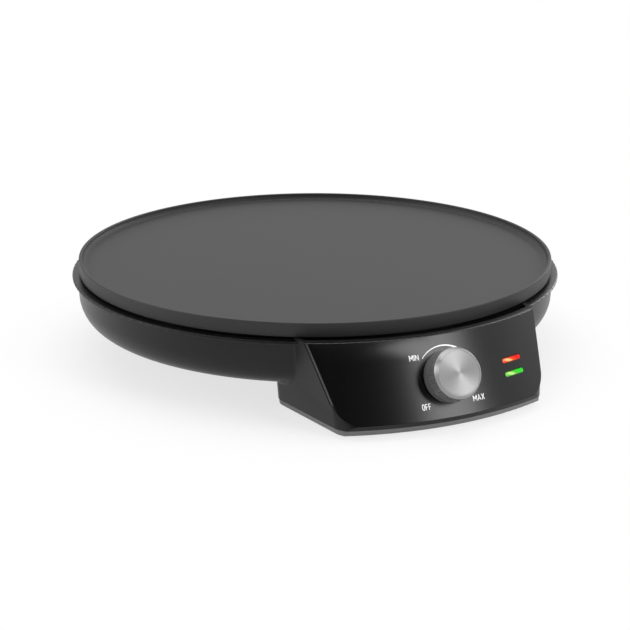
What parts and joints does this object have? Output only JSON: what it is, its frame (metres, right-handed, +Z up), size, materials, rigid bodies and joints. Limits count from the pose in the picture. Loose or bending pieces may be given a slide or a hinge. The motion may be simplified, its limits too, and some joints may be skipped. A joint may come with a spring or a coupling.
{
  "type": "electric crepe maker",
  "caption": "Countertop electric crepe maker: round rimmed hot plate on a shallow base, front housing with sloping panel, dial and pilot lamps.",
  "frame": {"origin": "on the table, under the middle of the whole part's box", "axes": "+Z up, the control panel faces -Y, +X to the right of someone facing the panel"},
  "size_m": [0.3088, 0.3453, 0.057],
  "materials": {
    "nonstick_coating": "satin black non-stick coating on cast aluminium",
    "black_plastic": "satin black moulded plastic",
    "cover_plastic": "matt black moulded plastic",
    "gloss_panel": "polished black plastic",
    "knob_plastic": "satin black plastic",
    "knob_metal": "satin turned aluminium",
    "brushed_metal": "circular brushed aluminium",
    "element_sheath": "oxidised stainless sheath",
    "zinced_sheet": "aluminised sheet",
    "steel": "zinc-plated steel",
    "brass": "plain brass",
    "spring_brass": "phosphor bronze strip",
    "ceramic": "unglazed steatite",
    "black_rubber": "matt black rubber",
    "red_lens": "lit translucent red",
    "green_lens": "lit translucent green",
    "lamp_glass": "clear glass"
  },
  "bodies": {
    "base": {"adjusting_leaf": "spring_brass", "base_shell": "black_plastic", "bimetal_strip": "steel", "bottom_cover": "cover_plastic", "bracket_screws": "steel", "clamp_ring": "zinced_sheet", "clamp_screws": "steel", "contact_leaf_lower": "spring_brass", "contact_leaf_upper": "spring_brass", "cooking_plate": "nonstick_coating", "cord_clamp": "cover_plastic", "cord_clamp_screws": "steel", "cord_gland": "black_rubber", "cover_screws": "steel", "front_panel": "gloss_panel", "front_rubber_feet": "black_rubber", "fuse_clip": "steel", "fuse_screw": "steel", "green_lens": "green_lens", "heating_element": "element_sheath", "holder_screws": "steel", "insulator_stack": "ceramic", "lamp_holder": "ceramic", "lamp_resistors": "ceramic", "leg_screws": "steel", "neon_lamps": "lamp_glass", "pin_guide": "ceramic", "plate_screws": "steel", "plate_spacers": "ceramic", "rear_legs": "cover_plastic", "rear_rubber_feet": "black_rubber", "red_lens": "red_lens", "reflector_pan": "zinced_sheet", "stack_rivet": "steel", "stud_clips": "steel", "terminal_beads": "ceramic", "terminal_block": "ceramic", "terminal_fixing_screws": "steel", "terminal_pins": "steel", "terminal_screws": "brass", "thermal_fuse": "steel", "thermostat_bracket": "zinced_sheet", "thermostat_bush": "brass", "thermostat_frame": "zinced_sheet", "thermostat_nut": "brass"},
    "knob": {"knob_body": "knob_plastic", "knob_bezel": "knob_metal", "knob_cap": "brushed_metal", "knob_clip": "steel", "thermostat_spindle": "brass"},
    "push_pin": {"push_pin": "ceramic"}
  },
  "joints": [
    {"name": "knob_turn", "type": "hinge", "parent": "base", "child": "knob", "pos_m": [0, -0.15394, 0.028], "axis": [0, 0.8829, -0.4696], "range_deg": [-80, 184]},
    {"name": "push_pin_travel", "type": "slide", "parent": "base", "child": "push_pin", "axis": [0, 0.8829, -0.4696], "range_m": [-0.0002, 0.00045]}
  ],
  "couplings": [
    {"joint": "push_pin_travel", "follows": "knob_turn", "m_per_rad": 0.000127}
  ]
}
